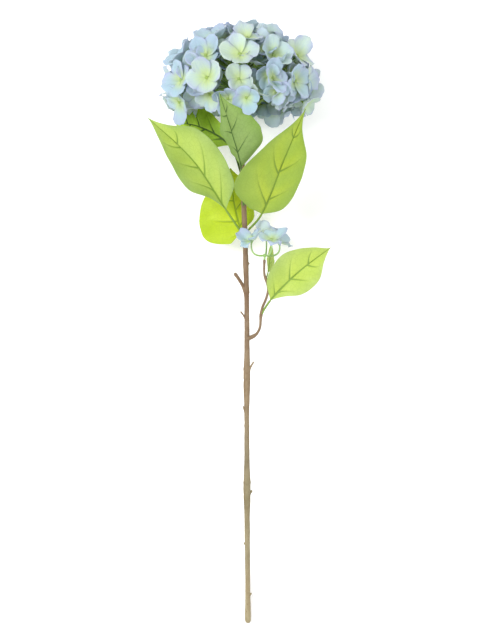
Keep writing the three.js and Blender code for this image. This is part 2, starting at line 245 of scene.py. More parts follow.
def smooth_step(tree, value, low, high, low_out=0.0, high_out=1.0):
    """A value eased from low_out to high_out as it goes from low to high."""
    inputs = {"Value": value, "From Min": low, "From Max": high, "To Min": low_out, "To Max": high_out}
    node = add_node(tree, "ShaderNodeMapRange", inputs, interpolation_type="SMOOTHSTEP")
    return node.outputs["Result"]


def field(tree, name):
    """The number of that name that each point of the mesh carries."""
    return add_node(tree, "ShaderNodeAttribute", attribute_name=name).outputs["Fac"]


def noise(tree, vector, scale, detail, roughness):
    """A noise from 0 to 1."""
    inputs = {"Vector": vector, "Scale": scale, "Detail": detail, "Roughness": roughness}
    return add_node(tree, "ShaderNodeTexNoise", inputs).outputs["Fac"]


def make_mottle_group():
    """Patches and grain: a broad noise and a fine one, added by a chosen share of grain."""
    group = bpy.data.node_groups.new("mottle", "ShaderNodeTree")
    for name, kind, value in (
        ("Vector", "NodeSocketVector", None),
        ("Patch Scale", "NodeSocketFloat", 30.0),
        ("Grain Scale", "NodeSocketFloat", 400.0),
        ("Grain Share", "NodeSocketFloat", 0.3),
    ):
        socket = group.interface.new_socket(name, in_out="INPUT", socket_type=kind)
        if value is not None:
            socket.default_value = value
    for name in ("Mask", "Height"):
        group.interface.new_socket(name, in_out="OUTPUT", socket_type="NodeSocketFloat")
    given = group.nodes.new("NodeGroupInput").outputs
    result = group.nodes.new("NodeGroupOutput")
    patch = noise(group, given["Vector"], given["Patch Scale"], 3.0, 0.55)
    grain = noise(group, given["Vector"], given["Grain Scale"], 4.0, 0.6)
    grain_part = maths(group, "MULTIPLY", grain, given["Grain Share"])
    patch_share = maths(group, "SUBTRACT", 1.0, given["Grain Share"])
    both = maths(group, "ADD", maths(group, "MULTIPLY", patch, patch_share), grain_part)
    group.links.new(smooth_step(group, both, 0.34, 0.66), result.inputs["Mask"])
    group.links.new(both, result.inputs["Height"])
    return group


MOTTLE = make_mottle_group()


def mottle(tree, vector, patch_scale, grain_scale, grain_share):
    """The mottling group placed in a material with its own scales."""
    node = add_node(tree, "ShaderNodeGroup", {
        "Vector": vector, "Patch Scale": patch_scale,
        "Grain Scale": grain_scale, "Grain Share": grain_share,
    }, node_tree=MOTTLE)
    return node.outputs["Mask"], node.outputs["Height"]


def new_material(name):
    """An empty material, its node tree and the coordinates that its patterns use."""
    material = bpy.data.materials.new(name)
    material.use_nodes = True
    tree = material.node_tree
    tree.nodes.clear()
    place = add_node(tree, "ShaderNodeTexCoord").outputs["Object"]
    return material, tree, place


def stretched(tree, vector, scale):
    """Coordinates stretched, for a pattern that is longer one way."""
    return add_node(tree, "ShaderNodeMapping", {"Vector": vector, "Scale": scale}).outputs[0]


def finish_material(tree, colour, roughness, height, bump, distance, glow=0.0, sheen=0.0):
    """A Principled surface with a bump; glow is the share of light that the thin skin lets through."""
    normal = add_node(tree, "ShaderNodeBump", {
        "Height": height, "Strength": bump, "Distance": distance,
    }).outputs["Normal"]
    surface = add_node(tree, "ShaderNodeBsdfPrincipled", {
        "Base Color": colour, "Roughness": roughness, "Normal": normal,
        "Specular IOR Level": 0.3, "Sheen Weight": sheen, "Sheen Roughness": 0.5,
    }).outputs[0]
    if glow:
        through = add_node(tree, "ShaderNodeBsdfTranslucent", {"Color": colour, "Normal": normal})
        surface = add_node(tree, "ShaderNodeMixShader", {
            0: glow, 1: surface, 2: through.outputs[0],
        }).outputs[0]
    add_node(tree, "ShaderNodeOutputMaterial", {"Surface": surface})


print("shared effect ready:", MOTTLE.name)

# %% [markdown]
# ## The woody stem
#
# A hydrangea stem is a smooth young rod at the top and older, paler wood below, with a swollen
# joint wherever a pair of leaves once grew, and stubs, buds and scars at those joints. A scaled
# cylinder would be too even. Here the rod is a tube whose radius is a sum of bell curves, one per
# joint, times a little lumpiness: a few sine waves that run along and around the wood. The stubs
# are short tubes whose roots flare into the rod.

# %% Shape the main stem
STEM_RADIUS = 2.75
STEM_AXIS = np.array([
    [0, 0, 0], [-1, 140, 1.5], [-1.3, 215, 0.5], [-1.1, 300, -1],
    [-1.8, 370, 0.5], [-4.5, 451, 0], [-7.6, 528, 0],
], float)
FOOT_ROUNDING = 4
JOINTS = np.array([  # height, how much it swells, half length
    [6, 0.45, 14], [100, 0.35, 13], [146, 1.2, 24], [213, -0.15, 6],
    [266, 1.0, 26], [359, 0.5, 4], [388, 0.3, 8], [528, 2.2, 9],
])
JOINT_RINGS = np.array([  # height, depth and half length of the scars that ring the joints
    [139, -0.25, 0.9], [152, 0.35, 1.6], [213, 0.45, 1.2], [262, -0.3, 0.9],
    [274, 0.4, 1.8], [357, 0.35, 1.2], [417, 0.5, 1.8], [452, 0.4, 1.4], [484, 0.35, 1.2],
])
SPURS = [  # root, tip, radius at the root, radius at the tip
    ((-2.4, 358, 0), (-14.6, 378, 3), 2.0, 1.75),
    ((-1.6, 326, 0), (-8.2, 336.5, 1), 1.3, 0.7),
    ((-2.4, 385, 0), (1.3, 389, 1), 1.9, 1.4),
    ((-1.2, 267, 0), (6.5, 282.4, 1), 1.9, 0.7),
    ((-1.4, 212, 0), (-5.1, 234.4, 1), 1.4, 0.7),
    ((-0.8, 131, 0), (4.4, 143.5, 1), 2.0, 0.9),
    ((-0.8, 76, 0), (-4.3, 87, 0.5), 1.4, 0.6),
    ((-0.2, 22, 0), (3.7, 32.5, 0.5), 1.6, 0.7),
]
EYEWARD = np.array([0.0, 0.0, 1.0])
ROD_SIDES, SPUR_SIDES = 28, 14
ROD_LUMPS, SPUR_LUMPS = 0.045, 0.06
ROD_SEED, SPUR_SEED = 4, 20
WOOD_WAVES = ((140, 1, 0.5), (61, 2, 0.5), (27, 3, 0.4), (11, 5, 0.3), (5, 7, 0.18))  # mm, lobes, share


def cubic(start, end, slope_in, slope_out, local):
    """The cubic from start to end with the given slope at each, at local from 0 to 1."""
    bend = 3 * (end - start) - 2 * slope_in - slope_out
    return start + slope_in * local + bend * local**2 + (2 * (start - end) + slope_in + slope_out) * local**3


def catmull_rom(points, share):
    """The centripetal Catmull-Rom curve through points, at shares from 0 to 1 of its spans.

    Each span is a cubic with a slope at each end. A slope is a mean of the slopes to the
    neighbours, weighted by the square root of the distance between points."""
    points = np.asarray(points, float)
    before = 2 * points[0] - points[1]
    after = 2 * points[-1] - points[-2]
    padded = np.vstack((before, points, after))
    span = np.clip((share * (len(points) - 1)).astype(int), 0, len(points) - 2)
    local = (share * (len(points) - 1) - span)[:, None]
    p0, p1, p2, p3 = (padded[span + step] for step in range(4))
    gap0, gap1, gap2 = (
        np.sqrt(np.linalg.norm(b - a, axis=1, keepdims=True)) for a, b in ((p0, p1), (p1, p2), (p2, p3))
    )
    slope1 = ((p1 - p0) / gap0 - (p2 - p0) / (gap0 + gap1) + (p2 - p1) / gap1) * gap1
    slope2 = ((p2 - p1) / gap1 - (p3 - p1) / (gap1 + gap2) + (p3 - p2) / gap2) * gap1
    return cubic(p1, p2, slope1, slope2, local)


def bells(height, rows):
    """A sum of bell curves, each with a centre, a size and a half length."""
    return sum(size * np.exp(-(((height - centre) / half) ** 2)) for centre, size, half in rows)


def wood_lumps(height, turn, seed, size):
    """Lumpy wood: sine waves that run along and around the rod, as a share of its radius."""
    rng = np.random.default_rng(seed)
    lumps = np.zeros(np.broadcast_shapes(height.shape, turn.shape))
    for pitch, lobes, share in WOOD_WAVES:
        phase = rng.uniform(0, 2 * np.pi, 2)
        lumps = lumps + share * np.sin(2 * np.pi * height / pitch + phase[0] + lobes * turn + phase[1])
    return size * lumps


def make_rod():
    """The main rod: rings up the stem's axis, wider at each joint and rounded at the foot."""
    curve = catmull_rom(STEM_AXIS, np.linspace(0, 1, 800))
    height = np.concatenate((np.linspace(0, 4, 6)[:-1], np.arange(4, 527, 1.25), [527.4, 528]))
    path = np.stack([np.interp(height, curve[:, 1], curve[:, axis]) for axis in (0, 1, 2)], -1)
    radius = STEM_RADIUS + bells(height, JOINTS) + bells(height, JOINT_RINGS)
    foot_share = np.maximum(0, 1 - height / FOOT_ROUNDING)
    radius *= np.sqrt(1 - 0.75 * foot_share**2)
    radius[-1] *= 0.82
    lumps = wood_lumps(height[:, None], circle(ROD_SIDES), ROD_SEED, ROD_LUMPS)
    return tube(path, radius, ROD_SIDES, EYEWARD, lumps)


def make_spur(root, tip, wide, thin, seed):
    """A stub: a short tube that flares where it leaves the rod and is rounded over at its end."""
    share = np.linspace(0, 1, 18)
    path = np.array(root, float) + share[:, None] * (np.array(tip, float) - root)
    path[:, 0] += 0.7 * np.sin(np.pi * share) * np.sign(root[0] - tip[0])
    radius = wide + (thin - wide) * share + 0.9 * np.exp(-((share / 0.22) ** 2))
    radius += 0.25 * np.exp(-(((share - 0.9) / 0.08) ** 2))
    radius *= np.sqrt(np.clip(1 - ((share - 0.9) / 0.115).clip(0) ** 2, 0.1, 1))
    lumps = wood_lumps(share[:, None] * 25, circle(SPUR_SIDES), seed, SPUR_LUMPS)
    return tube(path, radius, SPUR_SIDES, EYEWARD, lumps)


stem_skins = [make_rod()]
for seed, (root, tip, wide, thin) in enumerate(SPURS):
    stem_skins.append(make_spur(root, tip, wide, thin, SPUR_SEED + seed))
for skin in stem_skins:
    skin["height"] = skin["points"][:, 1] / STEM_CROWN[1]
main_stem_skin = joined(stem_skins)
print(f"main stem: one rod and {len(SPURS)} stubs, {len(main_stem_skin['points'])} points")

# %% [markdown]
# ## Bark
#
# Young wood near the leaves is a warm red-brown, and it fades to a greenish straw colour towards
# the cut, so the colour follows the height that each point carries. Over that lie the mottling
# stretched along the stem, which reads as long fibres, and small dark pores from a Voronoi pattern.

# %% Make the bark material
BARK_TONES = (  # share of the stem's height, colour
    (0.03, (154, 145, 114)), (0.13, (142, 134, 106)), (0.25, (122, 114, 84)), (0.35, (110, 100, 76)),
    (0.46, (124, 106, 80)), (0.56, (124, 106, 84)), (0.66, (118, 96, 74)), (0.83, (106, 82, 60)),
    (1.0, (112, 92, 58)),
)


def make_bark():
    material, tree, place = new_material("bark")
    fibres = stretched(tree, place, (1.0, 0.12, 1.0))
    mask, grain = mottle(tree, fibres, 160.0, 1300.0, 0.45)
    broad, _ = mottle(tree, place, 28.0, 220.0, 0.25)
    ramp = add_node(tree, "ShaderNodeValToRGB", {"Fac": field(tree, "height")})
    stops = ramp.color_ramp.elements
    stops.remove(stops[1])
    stops[0].position = BARK_TONES[0][0]
    stops[0].color = linear(*BARK_TONES[0][1])
    for height, tone in BARK_TONES[1:]:
        stops.new(height).color = linear(*tone)
    wood = ramp.outputs["Color"]
    darker = blend_colours(tree, 1.0, wood, linear(196, 172, 150), "MULTIPLY")
    colour = tint(tree, wood, darker, mask, 0.55)
    pale = blend_colours(tree, 0.35, colour, linear(206, 190, 158))
    colour = tint(tree, colour, pale, broad, 0.45)
    pores = add_node(tree, "ShaderNodeTexVoronoi", {
        "Vector": stretched(tree, place, (1.0, 0.5, 1.0)), "Scale": 420.0, "Randomness": 1.0,
    }).outputs["Distance"]
    pore_mask = smooth_step(tree, pores, 0.1, 0.22, 1.0, 0.0)
    colour = tint(tree, colour, linear(110, 82, 62), pore_mask, 0.5)
    height = maths(tree, "SUBTRACT", grain, maths(tree, "MULTIPLY", pore_mask, 0.3))
    rough = smooth_step(tree, mask, 0.0, 1.0, 0.62, 0.85)
    finish_material(tree, colour, rough, height, 0.55, 0.0006)
    return material


BARK = make_bark()
make_piece("stem_wood", main_stem_skin, BARK, ["main_stem"])
print("bark runs from straw at the cut to red-brown under the leaves")

# %% [markdown]
# ## The side branch
#
# A thin twig leaves the main stem, swings out and up, and carries a leaf and a small flower. It is
# the same kind of tube as the stem, a third as thick, on a curve through a few points, with a small
# swelling where its leaf grows.

# %% Make the side branch
SIDE_AXIS = np.array([
    [-1.2, 306.5, 0], [8, 311, 3], [12.5, 318, 5], [14, 331.9, 8], [15.6, 341, 9],
    [19.6, 350.5, 10.5], [21.6, 359.6, 11.5], [20.2, 368, 12.5], [17.6, 376.5, 13], [17.6, 392, 14],
])
SIDE_RADII = (1.55, 1.2)
SIDE_JOINTS = np.array([[308, 0.9, 3.5], [333, 0.5, 4], [371, 0.45, 3.5], [391, 0.35, 3]])
SIDE_LENGTH = 95
SIDE_SIDES = 16
SIDE_SEED = 51


def make_side_branch():
    share = np.linspace(0, 1, 140)
    path = catmull_rom(SIDE_AXIS, share)
    radius = SIDE_RADII[0] + (SIDE_RADII[1] - SIDE_RADII[0]) * share + bells(path[:, 1], SIDE_JOINTS)
    radius[0] *= 0.6
    radius[-1] *= 0.7
    lumps = wood_lumps(share[:, None] * SIDE_LENGTH, circle(SIDE_SIDES), SIDE_SEED, 0.05)
    skin = tube(path, radius, SIDE_SIDES, EYEWARD, lumps)
    skin["height"] = skin["points"][:, 1] / STEM_CROWN[1]
    return skin


make_piece("side_branch_wood", make_side_branch(), BARK, ["side_branch"])
print("side branch made")

# %% [markdown]
# ## Leaves
#
# Each leaf is a thin blade on a short stalk, folded a little along its midrib, with veins that are
# sunk on the upper side and stand out as ribs below. A flat outline with a bump map would look
# right only from straight above. Here the blade is a surface of two parameters, one along the
# midrib and one across it, and the veins are part of its height. The same vein distance is kept as
# a number on each point, so the colour follows the relief. A leaf's row gives its midrib's points,
# its half widths from base to tip on either side, its fold and roll in degrees, how far its left
# lobe hangs back, and where each vein starts and how far it climbs.

# %% Give each leaf its size and its veins
PETIOLE_RADIUS = 1.15
SMALL_PETIOLE = 0.6
STALK_SIDES = 14
STALK_VEIN = 0.75
LEAF_SEED = 100
LOBE_NECK = 15
LEAF_THICKNESS = 0.55
LEAF_PARTS = ("midrib", "left", "right", "fold", "roll", "lobe", "left_veins", "right_veins")
LEAF_ROWS = {
    "leaf_front_left": (
        ((-3.9, 417, 0), (-23.2, 444.7, 14), (-59, 497.8, 30), (-106.8, 542.7, 36)),
        (9, 29, 31, 24, 11), (22, 28, 29, 26, 9), 26, 15, 0,
        ((0.2, 0.3), (0.42, 0.26), (0.64, 0.2)),
        ((0.06, 0.42), (0.34, 0.36), (0.68, 0.17)),
    ),
    "leaf_front_right": (
        ((-3.7, 420, 0), (14.6, 440.5, 16), (38.3, 497, 38), (60.7, 549.6, 58)),
        (37, 40, 29, 19, 7), (24, 32, 33, 26, 7), 28, -14, 8,
        ((0.1, 0.45), (0.38, 0.34), (0.72, 0.16)),
        ((0.16, 0.24), (0.4, 0.3), (0.72, 0.17)),
    ),
    "leaf_upper_front": (
        ((-4.5, 449, 0), (-7.4, 489.1, 30), (-18.3, 528, 65), (-30, 564.2, 92)),
        (8, 18, 25, 31, 16), (30, 32, 28, 18, 6), 25, 44, 0,
        ((0.2, 0.3), (0.45, 0.26), (0.68, 0.18)),
        ((0.2, 0.24), (0.47, 0.26), (0.72, 0.17)),
    ),
    "leaf_upper_back": (
        ((-6, 481, 0), (-19.2, 515.5, -7), (-52, 537.4, -20), (-81, 544, -34)),
        (12, 17, 18, 18, 12), (9, 15, 20, 20, 15), -8, -6, 0,
        ((0.15, 0.28), (0.42, 0.26), (0.68, 0.18)),
        ((0.28, 0.28), (0.52, 0.24), (0.74, 0.16)),
    ),
    "leaf_lower_back": (
        ((-3.9, 414, 0), (-7.2, 423, -8), (-15.5, 457, -19), (-19, 493.5, -28)),
        (37, 43, 39, 30, 19), (16, 20, 19, 16, 11), -12, 0, 16,
        ((0.02, 0.12), (0.2, 0.26), (0.5, 0.22)),
        ((0.1, 0.34), (0.36, 0.3), (0.66, 0.2)),
    ),
    "leaf_side": (
        ((14.6, 334, 8.4), (23.8, 347.8, 11), (54.3, 378.6, 15), (89, 405, 13)),
        (17, 24, 26, 20, 11), (8, 20, 23, 20, 8), 14, 0, 0,
        ((0.1, 0.22), (0.36, 0.3), (0.66, 0.2)),
        ((0.14, 0.26), (0.38, 0.24), (0.64, 0.18)),
    ),
    "leaf_side_small": (
        ((19.3, 371, 12.8), (21.5, 378, 8), (23.5, 394, 3), (25, 411, 1)),
        (5, 7.5, 8, 6, 3), (5, 7.5, 8, 6, 3), 10, 60, 0,
        ((0.2, 0.26), (0.5, 0.2)),
        ((0.3, 0.26), (0.6, 0.2)),
    ),
}
LEAVES = {name: dict(zip(LEAF_PARTS, row)) for name, row in LEAF_ROWS.items()}
VEIN_CURVE = 1.15
VEIN_REACH = 0.82
VEIN_WIDTH = 0.95
MIDRIB_WIDTH = 1.4
FLUSH_HIGHLIGHT_WIDTH = 5.5
BLADE_ROWS = 131
BLADE_COLUMNS = 91


def smooth_line(values, share):
    """A uniform Catmull-Rom line through evenly spaced values, at shares from 0 to 1."""
    values = np.asarray(values, float)
    last = len(values) - 1
    span = np.clip(np.floor(share * last).astype(int), 0, last - 1)
    local = share * last - span
    p0, p1 = values[np.maximum(span - 1, 0)], values[span]
    p2, p3 = values[span + 1], values[np.minimum(span + 2, last)]
    return cubic(p1, p2, (p2 - p0) / 2, (p3 - p1) / 2, local)


def shell(middle, above, below, fields):
    """A closed thin shell round a grid: one skin above it, one below it, and a strip for a rim.

    The normal at each point is the slope across the grid crossed with the slope along it."""
    rows, columns = middle.shape[:2]
    normals = unit(np.cross(np.gradient(middle, axis=1), np.gradient(middle, axis=0)))
    upper = (middle + normals * above[..., None]).reshape(-1, 3)
    lower = (middle - normals * below[..., None]).reshape(-1, 3)
    count = rows * columns
    faces = grid_faces(rows, columns)
    index = np.arange(count).reshape(rows, columns)
    loop = np.concatenate((index[0, :-1], index[:-1, -1], index[-1, :0:-1], index[:0:-1, 0]))
    after = np.roll(loop, -1)
    rim = np.stack((loop + count, after + count, after, loop), -1).tolist()
    faces = faces + [[corner + count for corner in face[::-1]] for face in faces] + rim
    skin = {"points": np.vstack((upper, lower)), "faces": faces}
    for name, values in fields.items():
        skin[name] = np.tile(np.broadcast_to(values, (rows, columns)).ravel(), 2)
    skin["under"] = np.repeat((0.0, 1.0), count)
    return skin


def vein_distance(side, along, half, length, veins):
    """How near each point is to a vein, from 0 to 1, and how near it is to a vein's upper side.

    A vein leaves the midrib at its start and climbs towards the tip as it goes out."""
    near = np.zeros(along.shape)
    flush = np.zeros(along.shape)
    for start, climb in veins:
        line = start + climb * side**VEIN_CURVE
        slope = length * climb * VEIN_CURVE / half
        away = (along - line) * length / np.sqrt(1 + slope**2)
        fade = np.clip(1 - side / VEIN_REACH, 0, 1) ** 0.7
        width = VEIN_WIDTH * (0.45 + 0.55 * fade)
        near = np.maximum(near, fade * np.exp(-((away / width) ** 2)))
        # The band above each vein, where the blade swells; its colour is partly a painted highlight.
        above = np.exp(-(((away - 0.5 * FLUSH_HIGHLIGHT_WIDTH) / FLUSH_HIGHLIGHT_WIDTH) ** 2))
        flush = np.maximum(flush, above * np.clip(1 - side, 0, 1) ** 0.8)
    return near, flush


def make_leaf_skin(leaf, seed):
    """A blade and its stalk.

    A point of the blade is the midrib's point, plus its share across times the half width there,
    turned up by the fold. Veins sink it, and the skin between the veins swells and ripples."""
    rng = np.random.default_rng(seed)
    along = np.linspace(0, 1, BLADE_ROWS)[:, None]
    spread = np.linspace(-1, 1, BLADE_COLUMNS)[None, :]
    across = np.sign(spread) * np.abs(spread) ** 1.25
    side = np.abs(across)
    share = (1 + 2 * along[:, 0]) / 3
    step = 1e-4
    point = catmull_rom(leaf["midrib"], share)
    ahead = catmull_rom(leaf["midrib"], np.minimum(share + step, 1))
    behind = catmull_rom(leaf["midrib"], np.maximum(share - step, 0))
    forward = unit(ahead - behind)
    flat = unit(np.cross(forward, EYEWARD))
    roll = np.radians(leaf["roll"])
    outward = flat * np.cos(roll) + np.cross(forward, flat) * np.sin(roll)
    upward = np.cross(outward, forward)
    ends = [np.array((0, *leaf[name], 0), float) for name in ("left", "right")]
    left, right = (np.maximum(smooth_line(widths, along), 0.35) for widths in ends)
    half = np.where(across < 0, left, right)
    length = np.linalg.norm(np.diff(point, axis=0), axis=1).sum()
    fold = np.radians(leaf["fold"])
    back = np.where(across < 0, leaf["lobe"] * side * (1 - along) ** 2.5 * np.minimum(1, half / LOBE_NECK), 0)

    near_left, flush_highlight_left = vein_distance(side, along, half, length, leaf["left_veins"])
    near_right, flush_highlight_right = vein_distance(side, along, half, length, leaf["right_veins"])
    rib = np.exp(-((side * half / (MIDRIB_WIDTH * (1.05 - 0.75 * along))) ** 2))
    near = np.maximum(np.where(across < 0, near_left, near_right), rib)
    flush = np.where(across < 0, flush_highlight_left, flush_highlight_right)

    phase = rng.uniform(0, 2 * np.pi, 4)
    wave = np.sin(2 * np.pi * 2.6 * along + phase[0] + 1.2 * across)
    wave += 0.5 * np.sin(2 * np.pi * 5.7 * along + phase[1] - 2.0 * across)
    scale = np.minimum(1, half / 25)
    lift = side**1.3 * half * np.sin(fold)
    lift = lift + 1.1 * scale * side**2 * wave
    lift = lift + 0.7 * scale * np.clip(flush - near, 0, 1) * np.clip(1 - side**4, 0, 1)
    lift = lift - 0.55 * near * np.minimum(1, half / 6)
    middle = (
        point[:, None] + outward[:, None] * (across * half * np.cos(fold))[..., None]
        + upward[:, None] * lift[..., None] - forward[:, None] * back[..., None]
    )
    thin = LEAF_THICKNESS * (0.25 + 0.75 * np.clip(1 - side**8, 0, 1)) / 2
    thin = np.broadcast_to(thin, half.shape)
    edge = np.maximum(side**3, np.broadcast_to(along**9, half.shape))
    blade = shell(middle, thin, thin + 0.55 * near * np.minimum(1, half / 6), {
        "vein": near, "flush": flush, "edge": edge, "along": along,
    })

    stalk_share = np.linspace(0, 1.14, 36)
    path = catmull_rom(leaf["midrib"], stalk_share / 3)
    path = path - 0.35 * upward[0] * np.clip(stalk_share - 0.6, 0, 1)[:, None]
    radius = PETIOLE_RADIUS * (1 + 0.5 * np.exp(-((stalk_share / 0.09) ** 2)))
    radius *= np.clip((1.16 - stalk_share) / 0.2, 0.1, 1)
    if leaf is LEAVES["leaf_side_small"]:
        radius *= SMALL_PETIOLE
    stalk = tube(path, radius, STALK_SIDES, EYEWARD)
    return joined([blade, constant_fields(stalk, vein=STALK_VEIN, flush=0, edge=0, along=0, under=0)])


# %% [markdown]
# ## Leaf skin
#
# The leaves are not one green: those behind are lit through and look yellow, those in front are
# greyer at their edges, and every one is darkest along its veins. So one function holds the recipe,
# and each leaf gets its own four tones, which also hold painted light and shade. Besides the mottling
# it reads the numbers that the blade carries: nearness to a vein, the pale yellow band above each
# vein, which is partly a painted highlight on the swelling there, and the edge. A leaf lets light
# through, so a part of its surface is a Translucent shader.

# %% Make the leaf materials
# Painted light and shade in each leaf's tones: leaf_side_small and leaf_upper_front are painted lighter
# against the shadow they sit in, leaf_lower_back is painted yellow as if lit through, and leaf_upper_back is
# painted dark as in the head's shade, with a bright edge tone where light reaches it.
LEAF_TONES_AND_LIGHT = {  # skin, flush and painted highlight beside the veins, edge, vein
    "leaf_front_left": ((190, 210, 96), (206, 222, 90), (166, 192, 112), (124, 156, 60)),
    "leaf_front_right": ((172, 194, 80), (198, 210, 64), (146, 172, 80), (116, 144, 56)),
    "leaf_upper_front": ((178, 204, 132), (186, 210, 132), (146, 180, 86), (84, 118, 58)),
    "leaf_upper_back": ((146, 186, 62), (164, 202, 52), (188, 218, 58), (62, 94, 36)),
    "leaf_lower_back": ((194, 214, 38), (208, 224, 46), (186, 208, 42), (138, 166, 40)),
    "leaf_side": ((184, 206, 90), (200, 216, 84), (180, 200, 118), (124, 156, 66)),
    "leaf_side_small": ((212, 228, 132), (218, 232, 140), (198, 216, 120), (160, 190, 96)),
}
LEAF_GLOW = 0.28


def make_leaf_skin_material(name, skin, flush, edge, vein):
    material, tree, place = new_material(name + "_skin")
    mask, grain = mottle(tree, place, 26.0, 900.0, 0.3)
    patch, _ = mottle(tree, place, 11.0, 120.0, 0.12)
    near, band = field(tree, "vein"), field(tree, "flush")
    skin, flush, edge, vein = (linear(*tone) for tone in (skin, flush, edge, vein))
    # Painted highlight, partly a real yellow flush: the band above each vein is blended towards the second
    # tone.
    flush_highlight_share = maths(tree, "MULTIPLY", band, smooth_step(tree, patch, 0.0, 1.0, 0.35, 1.0))
    colour = blend_colours(tree, flush_highlight_share, skin, flush)
    edge_share = maths(tree, "MULTIPLY", field(tree, "edge"), 0.7)
    edge_share = maths(tree, "ADD", edge_share, maths(tree, "MULTIPLY", patch, 0.4), True)
    colour = blend_colours(tree, edge_share, colour, edge)
    shade = blend_colours(tree, 1.0, colour, linear(228, 236, 214), "MULTIPLY")
    colour = tint(tree, colour, shade, mask, 0.6)
    fine_veins = add_node(tree, "ShaderNodeTexVoronoi", {
        "Vector": place, "Scale": 210.0, "Randomness": 1.0,
    }, feature="DISTANCE_TO_EDGE").outputs["Distance"]
    net = smooth_step(tree, fine_veins, 0.0, 0.09, 1.0, 0.0)
    colour = tint(tree, colour, vein, net, 0.16)
    colour = blend_colours(tree, smooth_step(tree, near, 0.12, 0.8, 0.0, 0.92), colour, vein)
    under = blend_colours(tree, 0.55, colour, linear(198, 212, 160))
    colour = tint(tree, colour, under, field(tree, "under"), 0.8)
    height = maths(tree, "SUBTRACT", grain, maths(tree, "MULTIPLY", net, 0.25))
    rough = smooth_step(tree, mask, 0.0, 1.0, 0.46, 0.62)
    finish_material(tree, colour, rough, height, 0.35, 0.0004, LEAF_GLOW)
    return material


for seed, (name, leaf) in enumerate(LEAVES.items()):
    skin = make_leaf_skin(leaf, LEAF_SEED + seed)
    make_piece(name + "_blade", skin, make_leaf_skin_material(name, *LEAF_TONES_AND_LIGHT[name]), [name])
    print(f"{name}: {len(skin['faces'])} faces")

# %% [markdown]
# ## Florets
#
# A mophead is dozens of small flowers, each a shallow cup of four broad, papery petals. What keeps
# it from looking stamped is that no two petals are tilted, twisted, creased and waved alike. Each
# floret's place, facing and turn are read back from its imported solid, which is thinnest in the
# direction that it faces.

# %% Read each floret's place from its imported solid
FLORET_NODES = sorted(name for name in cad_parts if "floret" in name)
CUP_SLOPE = 0.1
CUP_RISE = 0.42
TIP_PAIR_SHARE = 0.97


def floret_frame(node):
    """A floret's place, radius and three axes: along its long pair of petals, facing, and across."""
    corners = standing(cad_points(node))
    centred = corners - corners.mean(0)
    facing = np.linalg.svd(centred, full_matrices=False)[2][2]
    lateral = centred - np.outer(centred @ facing, facing)
    distance = np.linalg.norm(lateral, axis=1)
    poles = np.argsort(distance)[:2]
    if (centred @ facing)[distance > 0.8 * distance.max()].mean() < (centred @ facing)[poles].mean():
        facing = -facing
    place = corners[poles].mean(0)
    out = corners - place
    out = out - np.outer(out @ facing, facing)
    reach = np.linalg.norm(out, axis=1)
    tips = out[reach > TIP_PAIR_SHARE * reach.max()]
    first = unit(tips[np.argmax(tips @ np.array([0.3, 1.0, 0.2]))])
    return {
        "place": place, "radius": reach.max(), "facing": facing,
        "first": first, "second": np.cross(first, facing),
    }


floret_frames = {name: floret_frame(name) for name in FLORET_NODES}
radii = [spot["radius"] for spot in floret_frames.values()]
print(f"{len(radii)} florets, radius {min(radii):.1f} to {max(radii):.1f} mm")

# %% [markdown]
# ## Inner florets
#
# The florets on the outside of the head leave chinks between them. On the real head those chinks
# show more petals further in, on shorter stalks, and here and there a glimpse of green. The inner
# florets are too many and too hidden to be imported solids, so they are made here, spread over the
# dome by the golden angle, as seeds are in a seed head, each at its own depth. The outer florets
# are drawn a little smaller than their solids, so that the inner ones show between them.

# %% Place the inner florets
HEAD_CENTRE = np.array([-8.6, 575.0, 0.0])
HEAD_ACROSS, HEAD_UP, HEAD_DOWN, HEAD_FRONT, HEAD_BACK = 72, 62, 36, 66, 54
INNER_COUNT = 96
INNER_SHARES = (0.8, 0.99)
INNER_RADIUS = 16.5
INNER_BATCHES = 4
OUTER_SHRINK = 0.9
LOWEST_INNER = 116
GOLDEN_ANGLE = np.pi * (3 - np.sqrt(5))
CHINKS = np.array([[7.0, 553.0, 52.0], [-14.0, 584.0, 60.0]])
CHINK_RADIUS = 21


def inner_frames():
    """Evenly spread frames on a smaller dome, leaving out those that would fill a green chink."""
    rng = np.random.default_rng(7)
    number = np.arange(INNER_COUNT)
    height = 1 - (number + 0.5) / INNER_COUNT * (1 - np.cos(np.radians(LOWEST_INNER)))
    flat = np.sqrt(1 - height**2)
    turn = number * GOLDEN_ANGLE + 0.4
    ball = np.stack((flat * np.sin(turn), height, flat * np.cos(turn)), -1)
    size = np.stack((
        np.full(INNER_COUNT, HEAD_ACROSS), np.where(height > 0, HEAD_UP, HEAD_DOWN),
        np.where(ball[:, 2] > 0, HEAD_FRONT, HEAD_BACK),
    ), -1)
    facing = unit(unit(ball / size) + rng.normal(0, 0.36, ball.shape))
    place = HEAD_CENTRE + ball * size * rng.uniform(*INNER_SHARES, (INNER_COUNT, 1))
    spin = unit(rng.normal(0, 1, ball.shape))
    first = unit(np.cross(spin, facing))
    radius = INNER_RADIUS * rng.uniform(0.85, 1.12, INNER_COUNT)
    clear = np.linalg.norm(place[:, None] - CHINKS, axis=2).min(1) > CHINK_RADIUS
    return [
        {"place": place[i], "radius": radius[i], "facing": facing[i],
         "first": first[i], "second": np.cross(first[i], facing[i])}
        for i in np.flatnonzero(clear)
    ]


inner = inner_frames()
print(f"{len(inner)} inner florets")

# %% [markdown]
# ## One petal, one floret
#
# A petal's formula, in words, for a share out and a share across from -1 to 1. How far out: the
# petal's length times the share out, less a little near the edges, which rounds the tip. How far
# across: half the petal's width there, a sine that swells and closes. How high: the cup, a slope
# plus a square of the distance, then the petal's own tilt, twist, crease, wave and curl. Every
# petal is twisted the same way, so that one edge slips over its neighbour and the other under. In
# the middle sits the eye, a small four-lobed bud.

